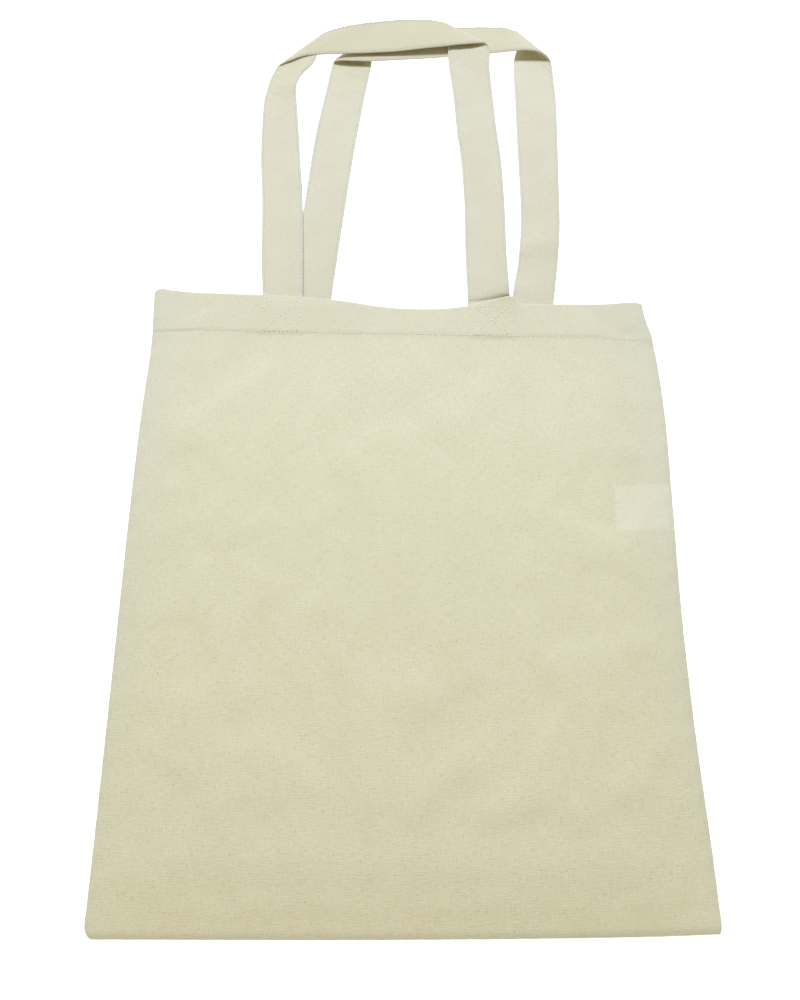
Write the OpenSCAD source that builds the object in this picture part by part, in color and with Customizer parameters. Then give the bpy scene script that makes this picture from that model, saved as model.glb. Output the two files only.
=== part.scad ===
// Cotton tote bag with two long handles, lying flat on its back panel.
// X runs across the bag, Y up the bag towards the handles, Z up from the table.
// The origin is the middle of the back panel's underside.

/* [Bag] */
// Width of the flat bag, side seam to side seam
body_w = 380; // [300:5:460]
// Height of the flat bag, bottom seam to mouth
body_h = 420; // [340:5:500]
// Radius of the two bottom corners
corner_r = 6; // [3:1:12]
// Height of the front panel's face above the table in the middle of the bag
crown = 8.5; // [7.5:0.5:14]
// Distance over which the front panel rises from a seam to its full height
rise_w = 55; // [35:5:80]

/* [Cloth] */
// Thickness of the cotton cloth
cloth_t = 0.5; // [0.4:0.1:0.6]
// Width of the seam allowance turned inside along the sides and the bottom
allowance = 9; // [6:1:12]
// Gap between two layers that lie on each other
lay_gap = 0.1; // [0.05:0.05:0.15]
// Gap between pieces that move apart
free_gap = 0.3; // [0.3:0.1:0.5]

/* [Mouth] */
// Depth of the hem round the mouth
hem_depth = 30; // [24:1:36]
// How far the mouth dips below its ends in the middle
mouth_dip = 9.5; // [4:0.5:12]
// How much higher the mouth's left end lies than its middle, and lower the right end
mouth_skew = 5; // [0:1:8]
// Distance of the hem's stitch line from the hem's lower edge
hem_stitch = 1.5; // [1:0.5:3]

/* [Handles] */
// Width of a handle strap
strap_w = 31; // [25:1:35]
// Thickness of a handle strap, which is folded and stitched
strap_t = 1.6; // [1:0.2:2]
// Height of the folded handle's top run above the mouth, at the middle of the strap
handle_rise = 250; // [180:5:300]
// Length of strap sewn inside the hem
sewn_len = 27; // [20:1:29]
// Radius of the soft fold at each top corner of a handle, at the middle of the strap
fold_r = 3; // [2.5:0.5:4]
// Height of the front handle's top run above the back handle's top run
stack_gap = 8.2; // [7.6:0.2:10]
// Front handle, left leg: place at the hem, from the bag's middle
front_left_x = -91; // [-120:1:-80]
// Front handle, left leg: shift between the hem and the top corner
front_left_lean = -9; // [-20:1:5]
// Front handle, right leg: place at the hem
front_right_x = 67; // [55:1:75]
// Front handle, right leg: shift between the hem and the top corner
front_right_lean = -8; // [-15:1:0]
// Back handle, left leg: place at the hem
back_left_x = -69; // [-75:1:-55]
// Back handle, left leg: shift between the hem and the top corner
back_left_lean = 24; // [0:1:30]
// Back handle, right leg: place at the hem
back_right_x = 102; // [90:1:120]
// Back handle, right leg: shift between the hem and the top corner
back_right_lean = 12; // [0:1:20]

/* [Threads] */
// Thickness of a line of stitching
thread_t = 0.35; // [0.25:0.05:0.4]
// Distance of the handles' edge stitching from the strap's edge
edge_stitch = 2; // [1.5:0.5:4]
// Distance of the boxed cross stitching from the mouth
box_top = 3.5; // [3:0.5:6]
// Height of the boxed cross stitching
box_h = 22; // [16:1:22]

/* [Care label] */
// Width of the care label, from the seam inwards
label_w = 38; // [20:1:50]
// Height of the care label
label_h = 31; // [20:1:60]
// Place of the label's middle above the bag's middle
label_y = 46; // [-60:1:80]
// Thickness of the label
label_t = 0.25; // [0.15:0.05:0.3]

/* [Hidden] */

cloth_colour = "#DFDAC3";
strap_colour = "#DCD7C0";
thread_colour = "#E6E1CC";
label_colour = "#F0EDE0";

// Two layers of cloth, as in a hem or a seam allowance
double_t = 2*cloth_t + lay_gap;
// Height of the front panel's underside along the seams, over the seam thread
edge_low = double_t + lay_gap + thread_t + lay_gap + free_gap;
edge_high = edge_low + double_t;
// Places of the handles' bend lines, just past the mouth
bend_gap = 0.8;
loop_start = 1;
// Mid-thickness height of each handle where it leaves the mouth
front_exit_z = crown - double_t - lay_gap - strap_t/2;
back_exit_z = double_t + lay_gap + strap_t/2;
// Mid-thickness heights of the legs on the table and of the fold's other side
back_leg_z = strap_t/2;
fold_run = PI*fold_r/sqrt(2);
front_left_z = strap_t + lay_gap + thread_t + free_gap + strap_t/2 + 1;
front_right_z = back_leg_z + stack_gap;
// Height on the bag of the middle of both handles' top runs
top_y = body_h/2 + handle_rise - mouth_dip;
// Length over which the strap turns from square to diagonal beside a fold
turn_len = 1.3*strap_w;

function smooth(t) = let (c = max(0, min(1, t))) c*c*(3 - 2*c);
function mix(a, b, t) = a + (b - a)*t;
function unit(v) = v/norm(v);

// Height of the mouth's edge at a place across the bag
function mouth_y(x) = body_h/2 - mouth_skew*x/(body_w/2) - mouth_dip*cos(90*x/(body_w/2));
// Half width of the bag at a height above its bottom edge
function half_w(up) = body_w/2
    - (up < corner_r ? corner_r - sqrt(corner_r*corner_r - pow(corner_r - up, 2)) : 0);
// Height of the front panel's outer face
function front_z(x, y) = edge_high + (crown - edge_high)
    *smooth((body_w/2 - abs(x))/rise_w)*smooth((y + body_h/2)/rise_w);

// ---- Panels ----

// Distances in from the edge that carry a column or a row of the front panel's mesh
edge_steps = [0, 1, 2.5, 4, corner_r, allowance, allowance + 0.5, 0.4*rise_w, 0.6*rise_w, 0.8*rise_w, rise_w];
mid_cols = 8;
mid_rows = 6;
// A column is a share of the half width, from -1 on the left to 1 on the right
side_cols = [for (d = edge_steps) -1 + d/(body_w/2)];
inner_col = side_cols[len(side_cols) - 1];
cols = concat(side_cols, [for (i = [1:mid_cols - 1]) mix(inner_col, -inner_col, i/mid_cols)],
              [for (i = [len(side_cols) - 1:-1:0]) -side_cols[i]]);
// A row is [distance above the bottom, share of the height, distance below the mouth]
low_rows = [for (d = edge_steps) [d, 0, 0]];
top_share = 1 - hem_depth/body_h - 0.03;
rows = concat(low_rows,
              [for (i = [1:mid_rows]) [0, mix(rise_w/body_h, top_share, i/mid_rows), 0]],
              [[0, 1, hem_depth + 0.5], [0, 1, hem_depth], [0, 1, hem_depth/2], [0, 1, 0]]);

function row_y(row, x) = -body_h/2 + row[0] + row[1]*(mouth_y(x) + body_h/2) - row[2];
function row_up(row) = row[1] > 0 ? corner_r : row[0];
function in_hem(row) = row[1] == 1 && row[2] <= hem_depth;
function in_allowance(row, c) =
    (1 - abs(c))*body_w/2 <= allowance || (row[1] == 0 && row[0] <= allowance);
function panel_t(row, c) = in_hem(row) || in_allowance(row, c) ? double_t : cloth_t;
function face_point(row, c, drop) = let (x = c*half_w(row_up(row)), y = row_y(row, x))
    [x, y, front_z(x, y) - drop*panel_t(row, c)];

// A closed sheet from two grids of points, the upper one first
module sheet(nr, nc, points) {
    n = nr*nc;
    top = [for (i = [0:nr - 2], j = [0:nc - 2]) let (a = i*nc + j)
           each [[a, a + nc + 1, a + 1], [a, a + nc, a + nc + 1]]];
    low = [for (f = top) [f[0] + n, f[2] + n, f[1] + n]];
    rim = concat([for (j = [0:nc - 2]) [j, j + 1]],
                 [for (i = [0:nr - 2]) [i*nc + nc - 1, (i + 1)*nc + nc - 1]],
                 [for (j = [nc - 1:-1:1]) [(nr - 1)*nc + j, (nr - 1)*nc + j - 1]],
                 [for (i = [nr - 1:-1:1]) [i*nc, (i - 1)*nc]]);
    side = [for (e = rim) each [[e[0], e[1], e[1] + n], [e[0], e[1] + n, e[0] + n]]];
    polyhedron(points, concat(top, low, side));
}

module front_panel() {
    color(cloth_colour)
        sheet(len(rows), len(cols),
              [for (drop = [0, 1], row = rows, c = cols) face_point(row, c, drop)]);
}

// Outline of a flat panel, drawn in from its side and bottom edges and down from its mouth
mouth_steps = 24;
module panel_outline(inset, below) {
    half = body_w/2 - inset;
    r = max(corner_r - inset, 0.5);
    bottom = -body_h/2 + inset;
    polygon(concat(
        [for (a = [180:15:270]) [-half + r + r*cos(a), bottom + r + r*sin(a)]],
        [for (a = [270:15:360]) [half - r + r*cos(a), bottom + r + r*sin(a)]],
        [for (i = [0:mouth_steps]) let (x = mix(half, -half, i/mouth_steps)) [x, mouth_y(x) - below]]));
}

module back_panel() {
    color(cloth_colour) {
        linear_extrude(cloth_t) panel_outline(0, 0);
        // Seam allowance along the sides and the bottom, and the hem along the mouth
        linear_extrude(double_t) difference() {
            panel_outline(0, 0);
            panel_outline(allowance, hem_depth);
        }
    }
}

// ---- Straps ----
// A strap is a list of stations along it: [middle of the strap, half of the line across it].

// Half of the line across a leg: square to the strap, turning diagonal near the fold
function leg_half(side, gap) = let (k = max(0, 1 - gap/turn_len)) [side, k, 0]*strap_w/2;

// Middle of a leg, from its start just past the mouth (t = 0) to its fold (t = 1)
function leg_mid(x0, lean, z0, z1, t) = let (y0 = mouth_y(x0) + bend_gap + loop_start)
    [x0 + lean*smooth(t), mix(y0, top_y - fold_run, t), mix(z0, z1, smooth(6*t))];

leg_steps = 14;
fold_steps = 6;
run_steps = 10;

function leg(side, x0, lean, z0, z1) = [for (i = [0:leg_steps]) let (
        t = i < leg_steps/2 ? i/leg_steps*0.9 : mix(0.45, 1, (i - leg_steps/2)/(leg_steps/2)),
        p = leg_mid(x0, lean, z0, z1, t))
    [p, leg_half(side, top_y - fold_run - p[1])]];

// The fold turns the strap over along a diagonal crease; side is 1 on the left and -1 on the right
function fold(side, x1, z1) = [for (i = [1:fold_steps - 1]) let (
        a = 180*i/fold_steps,
        along = fold_r*PI*i/fold_steps/sqrt(2),
        out = fold_r*sin(a)/sqrt(2))
    [[x1 + side*(along - out), top_y - fold_run + along + out, z1 + fold_r*(1 - cos(a))],
     [side, 1, 0]*strap_w/2]];

// The top run between the two folds
function run(xl, zl, xr, zr) = [for (i = [0:run_steps]) let (
        t = i/run_steps,
        x = mix(xl, xr, t),
        k = max(0, 1 - (x - xl)/turn_len) - max(0, 1 - (xr - x)/turn_len))
    [[x, top_y, mix(zl, zr, t) + 2*fold_r], [k, 1, 0]*strap_w/2]];

function backwards(list) = [for (i = [len(list) - 1:-1:0]) list[i]];

function strap(xl, lean_l, xr, lean_r, z0, zl, zr) = concat(
    leg(1, xl, lean_l, z0, zl),
    fold(1, xl + lean_l, zl),
    run(xl + lean_l + fold_run, zl, xr + lean_r - fold_run, zr),
    backwards(fold(-1, xr + lean_r, zr)),
    backwards(leg(-1, xr, lean_r, z0, zr)));

front_strap = strap(front_left_x, front_left_lean, front_right_x, front_right_lean,
                    front_exit_z, front_left_z, front_right_z);
back_strap = strap(back_left_x, back_left_lean, back_right_x, back_right_lean,
                   back_exit_z, back_leg_z, back_leg_z);

// A band swept along a strap: u0 to u1 across it in half widths, n0 to n1 off its middle
module band(stations, u0, u1, n0, n1) {
    last = len(stations) - 1;
    function ahead(i) = stations[min(i + 1, last)][0] - stations[max(i - 1, 0)][0];
    function off(i) = unit(cross(stations[i][1], ahead(i)));
    points = [for (i = [0:last]) let (m = stations[i][0], h = stations[i][1], n = off(i))
              each [m + h*u0 + n*n0, m + h*u1 + n*n0, m + h*u1 + n*n1, m + h*u0 + n*n1]];
    walls = [for (i = [0:last - 1], k = [0:3]) let (a = 4*i + k, b = 4*i + (k + 1)%4)
             each [[a, b + 4, a + 4], [a, b, b + 4]]];
    polyhedron(points, concat([[0, 2, 1], [0, 3, 2]], walls,
        [[4*last, 4*last + 1, 4*last + 2], [4*last, 4*last + 2, 4*last + 3]]));
}

module handle(stations) {
    color(strap_colour) band(stations, -1, 1, -strap_t/2, strap_t/2);
}

// Two lines of stitching along a strap's edges
module handle_thread(stations) {
    from = (strap_w/2 - edge_stitch)/(strap_w/2);
    to = from - thread_t/(strap_w/2);
    low = strap_t/2 + lay_gap;
    color(thread_colour)
        for (side = [-1, 1])
            band(stations, side > 0 ? to : -from, side > 0 ? from : -to, low, low + thread_t);
}

// The end of a strap, sewn flat inside the hem
module strap_end(x, mid_z) {
    color(strap_colour)
        translate([x - strap_w/2, mouth_y(x) - sewn_len, mid_z - strap_t/2])
            cube([strap_w, sewn_len - free_gap, strap_t]);
}

// ---- Stitching ----

module box_thread(x, low) {
    inner_w = strap_w - 2*edge_stitch;
    diagonal = sqrt(inner_w*inner_w + box_h*box_h);
    color(thread_colour)
        translate([x, mouth_y(x) - box_top - box_h/2, low])
            linear_extrude(thread_t) {
                difference() {
                    square([inner_w, box_h], center = true);
                    square([inner_w - 2*thread_t, box_h - 2*thread_t], center = true);
                }
                intersection() {
                    square([inner_w, box_h], center = true);
                    for (side = [-1, 1])
                        rotate(side*atan2(box_h, inner_w))
                            square([diagonal, thread_t], center = true);
                }
            }
}

hem_thread_steps = 40;
module hem_thread(end_gap, low_z) {
    half = body_w/2 - end_gap;
    stations = [for (i = [0:hem_thread_steps]) let (
                    x = mix(-half, half, i/hem_thread_steps),
                    y = mouth_y(x) - hem_depth + hem_stitch)
                [[x, y, low_z == 0 ? front_z(x, y) + lay_gap : low_z], [0, -1, 0]*thread_t/2]];
    color(thread_colour) band(stations, -1, 1, 0, thread_t);
}

// The seams run right at the panels' edges, between the two allowances
seam_z = double_t + lay_gap;
seam_in = 0.3;
module side_seam_thread(side) {
    top = mouth_y(side*body_w/2) - 1;
    low = -body_h/2 + corner_r + 2;
    color(thread_colour)
        translate([side*(body_w/2 - seam_in - thread_t/2) - thread_t/2, low, seam_z])
            cube([thread_t, top - low, thread_t]);
}

module bottom_seam_thread() {
    long = body_w - 2*corner_r - 4;
    color(thread_colour)
        translate([-long/2, -body_h/2 + seam_in, seam_z])
            cube([long, thread_t, thread_t]);
}

module care_label() {
    outer = body_w/2 - seam_in - thread_t - lay_gap;
    color(label_colour)
        translate([outer - label_w, label_y - label_h/2, double_t + lay_gap])
            cube([label_w, label_h, label_t]);
}

back_panel();
front_panel();
handle(front_strap);  // front_handle
handle(back_strap);  // back_handle
strap_end(front_left_x, front_exit_z);  // front_left_strap_end
strap_end(front_right_x, front_exit_z);  // front_right_strap_end
strap_end(back_left_x, back_exit_z);  // back_left_strap_end
strap_end(back_right_x, back_exit_z);  // back_right_strap_end
side_seam_thread(-1);  // left_seam_thread
side_seam_thread(1);  // right_seam_thread
bottom_seam_thread();
hem_thread(1, 0);  // front_hem_thread
hem_thread(allowance + 1, double_t + lay_gap);  // back_hem_thread
box_thread(front_left_x, crown + lay_gap);  // front_left_box_thread
box_thread(front_right_x, crown + lay_gap);  // front_right_box_thread
box_thread(back_left_x, back_exit_z + strap_t/2 + lay_gap);  // back_left_box_thread
box_thread(back_right_x, back_exit_z + strap_t/2 + lay_gap);  // back_right_box_thread
handle_thread(front_strap);  // front_handle_thread
handle_thread(back_strap);  // back_handle_thread
care_label();
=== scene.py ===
# Cotton tote bag with two long handles, lying flat on its back panel.
# X runs across the bag, Y up the bag towards the handles, Z up from the table.
# Lengths in the shaping code are millimetres; a mesh is turned to metres when it is made.
from math import pi, radians

import bmesh
import bpy
import numpy as np
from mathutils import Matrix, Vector


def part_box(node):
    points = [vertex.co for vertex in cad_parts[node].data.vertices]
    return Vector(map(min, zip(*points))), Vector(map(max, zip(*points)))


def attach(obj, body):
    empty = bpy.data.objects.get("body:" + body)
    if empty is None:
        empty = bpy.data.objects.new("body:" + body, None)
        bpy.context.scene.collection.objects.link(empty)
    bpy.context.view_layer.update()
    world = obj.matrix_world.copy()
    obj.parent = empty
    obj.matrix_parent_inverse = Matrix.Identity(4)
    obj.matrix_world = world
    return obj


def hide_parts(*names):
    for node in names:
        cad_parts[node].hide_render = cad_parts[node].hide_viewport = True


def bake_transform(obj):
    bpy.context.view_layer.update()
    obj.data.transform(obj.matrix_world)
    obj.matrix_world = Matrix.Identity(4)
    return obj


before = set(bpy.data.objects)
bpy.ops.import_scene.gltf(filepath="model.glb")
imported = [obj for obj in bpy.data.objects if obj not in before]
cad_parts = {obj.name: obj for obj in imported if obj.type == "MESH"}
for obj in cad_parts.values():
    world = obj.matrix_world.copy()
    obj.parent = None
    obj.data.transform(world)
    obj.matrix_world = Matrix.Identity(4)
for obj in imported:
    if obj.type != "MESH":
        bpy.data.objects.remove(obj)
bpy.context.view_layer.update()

MM = 0.001
PANEL_LOW, PANEL_HIGH = [np.array(corner)/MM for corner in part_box("front_panel")]
LEFT, RIGHT, BOTTOM = PANEL_LOW[0], PANEL_HIGH[0], PANEL_LOW[1]

CLOTH_T = 0.5
ALLOWANCE = 9.0
HEM_DEPTH = 28.0
CORNER_R = 8.0
STRAP_W = 31.0
STRAP_T = 1.7
STITCH_ROW = 0.88  # place of a strap's stitch rows, as a share of its half width
LAYER = 0.6  # from the middle of one cloth layer to the middle of the next
FRONT_EDGE_Z = 2.3  # middle of the front layer at the seams
FRONT_CROWN_Z = PANEL_HIGH[2] - CLOTH_T/2
SEAM_X = LEFT*MM, RIGHT*MM  # where the side seams stand, in metres; paired with the front halves but not read
FREE_X = -0.109, 0.105  # and places just outside the front handle's two ends; also paired but not read
ROLL = 1.05  # how far the front layer rolls down onto the seams
BACK_Z = 0.36  # middle of the back layer
STITCH_R = 0.21
THREAD_GAP = 0.0007  # metres between yarns, coarser than real so that the weave shows

rng = np.random.default_rng(26)


# ---- Small helpers ----

def smooth(t):
    t = np.clip(t, 0.0, 1.0)
    return t*t*(3 - 2*t)


def bump(x, middle, width):
    return np.exp(-((x - middle)/width)**2)


def curve(*points):
    """A smooth line through (place, value) points, as a function of the place."""
    xs, ys = np.array(points, float).T
    slopes = np.gradient(ys, xs)

    def at(x):
        x = np.clip(x, xs[0], xs[-1])
        i = np.clip(np.searchsorted(xs, x) - 1, 0, len(xs) - 2)
        h = xs[i + 1] - xs[i]
        t = (x - xs[i])/h
        return ((2*t**3 - 3*t**2 + 1)*ys[i] + (t**3 - 2*t**2 + t)*h*slopes[i]
                + (3*t**2 - 2*t**3)*ys[i + 1] + (t**3 - t**2)*h*slopes[i + 1])
    return at


def waves(x, y, size, seed):
    """Seeded smooth noise, about -1 to 1, with features of the given size in mm."""
    draw = np.random.default_rng(seed)
    total = 0
    for _ in range(9):
        angle = draw.uniform(0, 2*pi)
        long = size*draw.uniform(0.7, 1.6)
        total = total + np.sin(2*pi*(x*np.cos(angle) + y*np.sin(angle))/long + draw.uniform(0, 2*pi))
    return total/4.5


def make_object(name, points, faces, uv, material):
    """A mesh object from points in mm; uv is one pair per point, in metres."""
    mesh = bpy.data.meshes.new(name)
    mesh.from_pydata((np.asarray(points)*MM).tolist(), [], faces)
    layer = mesh.uv_layers.new(name="cloth")
    corner_points = np.empty(len(mesh.loops), dtype=np.int32)
    mesh.loops.foreach_get("vertex_index", corner_points)
    layer.data.foreach_set("uv", np.asarray(uv, float)[corner_points].ravel())
    mesh.polygons.foreach_set("use_smooth", [True]*len(mesh.polygons))
    mesh.materials.append(material)
    piece = bpy.data.objects.new(name, mesh)
    bpy.context.scene.collection.objects.link(piece)
    return piece


def apply_modifiers(piece):
    bpy.ops.object.select_all(action="DESELECT")
    bpy.context.view_layer.objects.active = piece
    piece.select_set(True)
    for modifier in list(piece.modifiers):
        bpy.ops.object.modifier_apply(modifier=modifier.name)
    piece.select_set(False)


# ---- Camera, light and table ----

def camera():
    data = bpy.data.cameras.new("camera")
    data.lens = 25.99
    data.sensor_width = 36.0
    data.shift_y = -0.1085
    data.clip_start = 0.01
    holder = bpy.data.objects.new("camera", data)
    bpy.context.scene.collection.objects.link(holder)
    holder.location = (-0.0008, -0.0358, 0.5091)
    holder.rotation_euler = (radians(18.293), 0.0, 0.0)
    bpy.context.scene.camera = holder


def soft_light(name, place, target, size, power, colour):
    data = bpy.data.lights.new(name, "AREA")
    data.shape = "SQUARE"
    data.size = size
    data.energy = power
    data.color = colour
    holder = bpy.data.objects.new(name, data)
    bpy.context.scene.collection.objects.link(holder)
    holder.location = place
    aim = Vector(target) - Vector(place)
    holder.rotation_euler = aim.to_track_quat("-Z", "Y").to_euler()


def studio():
    scene = bpy.context.scene
    scene.view_settings.view_transform = "Standard"
    world = bpy.data.worlds.new("studio")
    scene.world = world
    world.use_nodes = True
    sky = world.node_tree.nodes["Background"]
    sky.inputs["Color"].default_value = (1.0, 0.86, 0.56, 1.0)
    sky.inputs["Strength"].default_value = 0.395
    # Seen straight on, the room is as white as the table
    tree = world.node_tree
    seen = add(tree, "ShaderNodeLightPath")
    white = add(tree, "ShaderNodeBackground", {"Color": (1.0, 1.0, 1.0, 1.0), "Strength": 1.0})
    room = add(tree, "ShaderNodeMixShader", {0: seen.outputs["Is Camera Ray"],
                                             1: sky.outputs["Background"],
                                             2: white.outputs["Background"]})
    tree.links.new(room.outputs["Shader"], tree.nodes["World Output"].inputs["Surface"])
    # A cool lamp above and behind the handles and a warmer one farther away
    soft_light("near_lamp", (0.02, 0.80, 0.95), (0.0, 0.10, 0.0), 0.20, 7.9, (0.318, 0.464, 1.0))
    soft_light("far_lamp", (-0.20, 1.50, 2.40), (0.0, 0.10, 0.0), 0.7, 43.0, (1.0, 1.0, 0.71))


def table_top():
    bpy.ops.object.select_all(action="DESELECT")
    bpy.ops.mesh.primitive_plane_add(size=4.0, location=(0.0, 0.0, -0.4*MM))
    top = bpy.context.object
    bpy.ops.object.transform_apply(location=True, rotation=False, scale=False)
    top.name = "table_top"
    top.data.materials.append(table_paint())


# ---- Materials ----

def linear(code):
    """A linear colour from an sRGB hex value."""
    parts = [int(code[i:i + 2], 16)/255 for i in (1, 3, 5)]
    return tuple(c/12.92 if c <= 0.04045 else ((c + 0.055)/1.055)**2.4 for c in parts) + (1.0,)


def add(tree, kind, inputs=None, **settings):
    """Adds a node with its settings; an input is a value or another node's output."""
    node = tree.nodes.new(kind)
    for key, value in settings.items():
        setattr(node, key, value)
    for key, value in (inputs or {}).items():
        if isinstance(value, bpy.types.NodeSocket):
            tree.links.new(value, node.inputs[key])
        else:
            node.inputs[key].default_value = value
    return node


def new_material(name, roughness, sheen=0.0, specular=0.5):
    material = bpy.data.materials.new(name)
    material.use_nodes = True
    surface = material.node_tree.nodes["Principled BSDF"]
    surface.inputs["Roughness"].default_value = roughness
    surface.inputs["Specular IOR Level"].default_value = specular
    surface.inputs["Sheen Weight"].default_value = sheen
    surface.inputs["Sheen Roughness"].default_value = 0.6
    return material, material.node_tree, surface


def table_paint():
    # Matt white paper sweep: even, bright, with only a breath of grain
    material, tree, surface = new_material("white_paper_sweep", 0.95, specular=0.1)
    place = add(tree, "ShaderNodeTexCoord")
    grain = add(tree, "ShaderNodeTexNoise", {"Vector": place.outputs["Object"], "Scale": 300.0})
    tone = add(tree, "ShaderNodeMix", {"Factor": grain.outputs["Fac"], "A": linear("#FAFAFA"),
                                       "B": linear("#FFFFFF")}, data_type="RGBA")
    tree.links.new(tone.outputs["Result"], surface.inputs["Base Color"])
    surface.inputs["Emission Color"].default_value = (0.88, 0.93, 1.0, 1.0)
    surface.inputs["Emission Strength"].default_value = 0.72
    return material


def cotton(name, plain, light, dark, slub_strength, fleck_strength, relief_strength=0.55,
           label_place=None, marked=None):
    """Unbleached woven cotton on a flat-cloth UV map in metres.

    Thick and thin yarns (slubs) give short pale and dark dashes along and across the cloth,
    seed husks give small brown flecks, and uneven yarn gives a soft mottle.
    """
    material, tree, surface = new_material(name, 0.93, sheen=0.12, specular=0.15)
    link = tree.links.new
    uv = add(tree, "ShaderNodeUVMap", uv_map="cloth").outputs["UV"]

    # Soft mottle, about 25 mm and 6 mm across
    wide = add(tree, "ShaderNodeTexNoise", {"Vector": uv, "Scale": 40.0, "Detail": 3.0,
                                            "Roughness": 0.6}, noise_dimensions="2D")
    fine = add(tree, "ShaderNodeTexNoise", {"Vector": uv, "Scale": 420.0, "Detail": 3.0,
                                            "Roughness": 0.7}, noise_dimensions="2D")
    mottle = add(tree, "ShaderNodeMapRange", {"Value": wide.outputs["Fac"], "From Min": 0.3,
                                              "From Max": 0.7, "To Min": 0.0, "To Max": 1.0})
    grain = add(tree, "ShaderNodeMapRange", {"Value": fine.outputs["Fac"], "From Min": 0.25,
                                             "From Max": 0.75, "To Min": 0.0, "To Max": 1.0})
    base = add(tree, "ShaderNodeMix", {"Factor": mottle.outputs["Result"], "A": linear(plain),
                                       "B": linear(light)}, data_type="RGBA").outputs["Result"]
    grained = add(tree, "ShaderNodeMix", {"Factor": grain.outputs["Result"], "A": linear(dark),
                                          "B": base}, data_type="RGBA").outputs["Result"]
    # The fine grain only tints the cloth a little
    base = add(tree, "ShaderNodeMix", {"Factor": 0.20, "A": base, "B": grained},
               data_type="RGBA").outputs["Result"]

    # Slubs: dashes 0.8 mm wide and 4 to 9 mm long, along both yarn directions
    heights = []
    for across, along in ((1200.0, 170.0), (170.0, 1200.0)):
        stretched = add(tree, "ShaderNodeMapping", {"Vector": uv, "Scale": (across, along, 1.0)})
        yarn = add(tree, "ShaderNodeTexNoise", {"Vector": stretched.outputs["Vector"], "Scale": 1.0,
                                                "Detail": 1.0}, noise_dimensions="2D")
        thick = add(tree, "ShaderNodeMapRange", {"Value": yarn.outputs["Fac"], "From Min": 0.60,
                                                 "From Max": 0.78})
        thin = add(tree, "ShaderNodeMapRange", {"Value": yarn.outputs["Fac"], "From Min": 0.38,
                                                "From Max": 0.22})
        pale = add(tree, "ShaderNodeMath", {0: thick.outputs["Result"], 1: slub_strength},
                   operation="MULTIPLY")
        base = add(tree, "ShaderNodeMix", {"Factor": pale.outputs["Value"], "A": base,
                                           "B": linear("#FBF8EA")}, data_type="RGBA").outputs["Result"]
        deep = add(tree, "ShaderNodeMath", {0: thin.outputs["Result"], 1: slub_strength*0.8},
                   operation="MULTIPLY")
        base = add(tree, "ShaderNodeMix", {"Factor": deep.outputs["Value"], "A": base,
                                           "B": linear("#A79E80")}, data_type="RGBA").outputs["Result"]
        heights.append(yarn.outputs["Fac"])

    # Seed flecks 0.4 mm across, a few to a square centimetre (coarser than real, to show)
    cells = add(tree, "ShaderNodeTexVoronoi", {"Vector": uv, "Scale": 240.0}, voronoi_dimensions="2D")
    near = add(tree, "ShaderNodeMapRange", {"Value": cells.outputs["Distance"], "From Min": 0.10,
                                            "From Max": 0.05})
    chance = add(tree, "ShaderNodeSeparateColor", {"Color": cells.outputs["Color"]})
    some = add(tree, "ShaderNodeMath", {0: chance.outputs["Red"], 1: 0.80}, operation="GREATER_THAN")
    fleck = add(tree, "ShaderNodeMath", {0: near.outputs["Result"], 1: some.outputs["Value"]},
                operation="MULTIPLY")
    fleck = add(tree, "ShaderNodeMath", {0: fleck.outputs["Value"], 1: fleck_strength},
                operation="MULTIPLY")
    base = add(tree, "ShaderNodeMix", {"Factor": fleck.outputs["Value"], "A": base,
                                       "B": linear("#7D6A48")}, data_type="RGBA").outputs["Result"]

    if label_place:
        # The pale label under the thin cloth shows through as a lighter patch with soft edges
        axes = add(tree, "ShaderNodeSeparateXYZ", {"Vector": uv})
        patch = None
        for axis, low, high in (("X", *label_place[:2]), ("Y", *label_place[2:])):
            for edge, sign in ((low, 1.0), (high, -1.0)):
                inside = add(tree, "ShaderNodeMapRange", {
                    "Value": axes.outputs[axis], "From Min": edge - sign*0.0008,
                    "From Max": edge + sign*0.0008}).outputs["Result"]
                if patch is not None:
                    inside = add(tree, "ShaderNodeMath", {0: inside, 1: patch},
                                 operation="MULTIPLY").outputs["Value"]
                patch = inside
        patch = add(tree, "ShaderNodeMath", {0: patch, 1: 0.21}, operation="MULTIPLY")
        base = add(tree, "ShaderNodeMix", {"Factor": patch.outputs["Value"], "A": base,
                                           "B": linear("#FFFDF2")}, data_type="RGBA").outputs["Result"]
    # The hem, and a little of the cloth below it, is toned slightly greyer
    hem = add(tree, "ShaderNodeAttribute", attribute_name="hem")
    greyer = add(tree, "ShaderNodeMath", {0: hem.outputs["Fac"], 1: 0.30}, operation="MULTIPLY")
    base = add(tree, "ShaderNodeMix", {"Factor": greyer.outputs["Value"], "A": base,
                                       "B": linear("#CBC7B2")}, data_type="RGBA").outputs["Result"]
    # Painted shade: beside the seams, along the bottom edge and along a strap's edges the tone is cooler
    # and greyer, standing in for the light falling off where the cloth rolls away
    rim = add(tree, "ShaderNodeAttribute", attribute_name="rim")
    painted_edge_shade = add(tree, "ShaderNodeMath", {0: rim.outputs["Fac"], 1: 0.27}, operation="MULTIPLY")
    base = add(tree, "ShaderNodeMix", {"Factor": painted_edge_shade.outputs["Value"], "A": base,
                                       "B": linear("#C9D1D4")}, data_type="RGBA").outputs["Result"]
    if marked:
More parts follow.
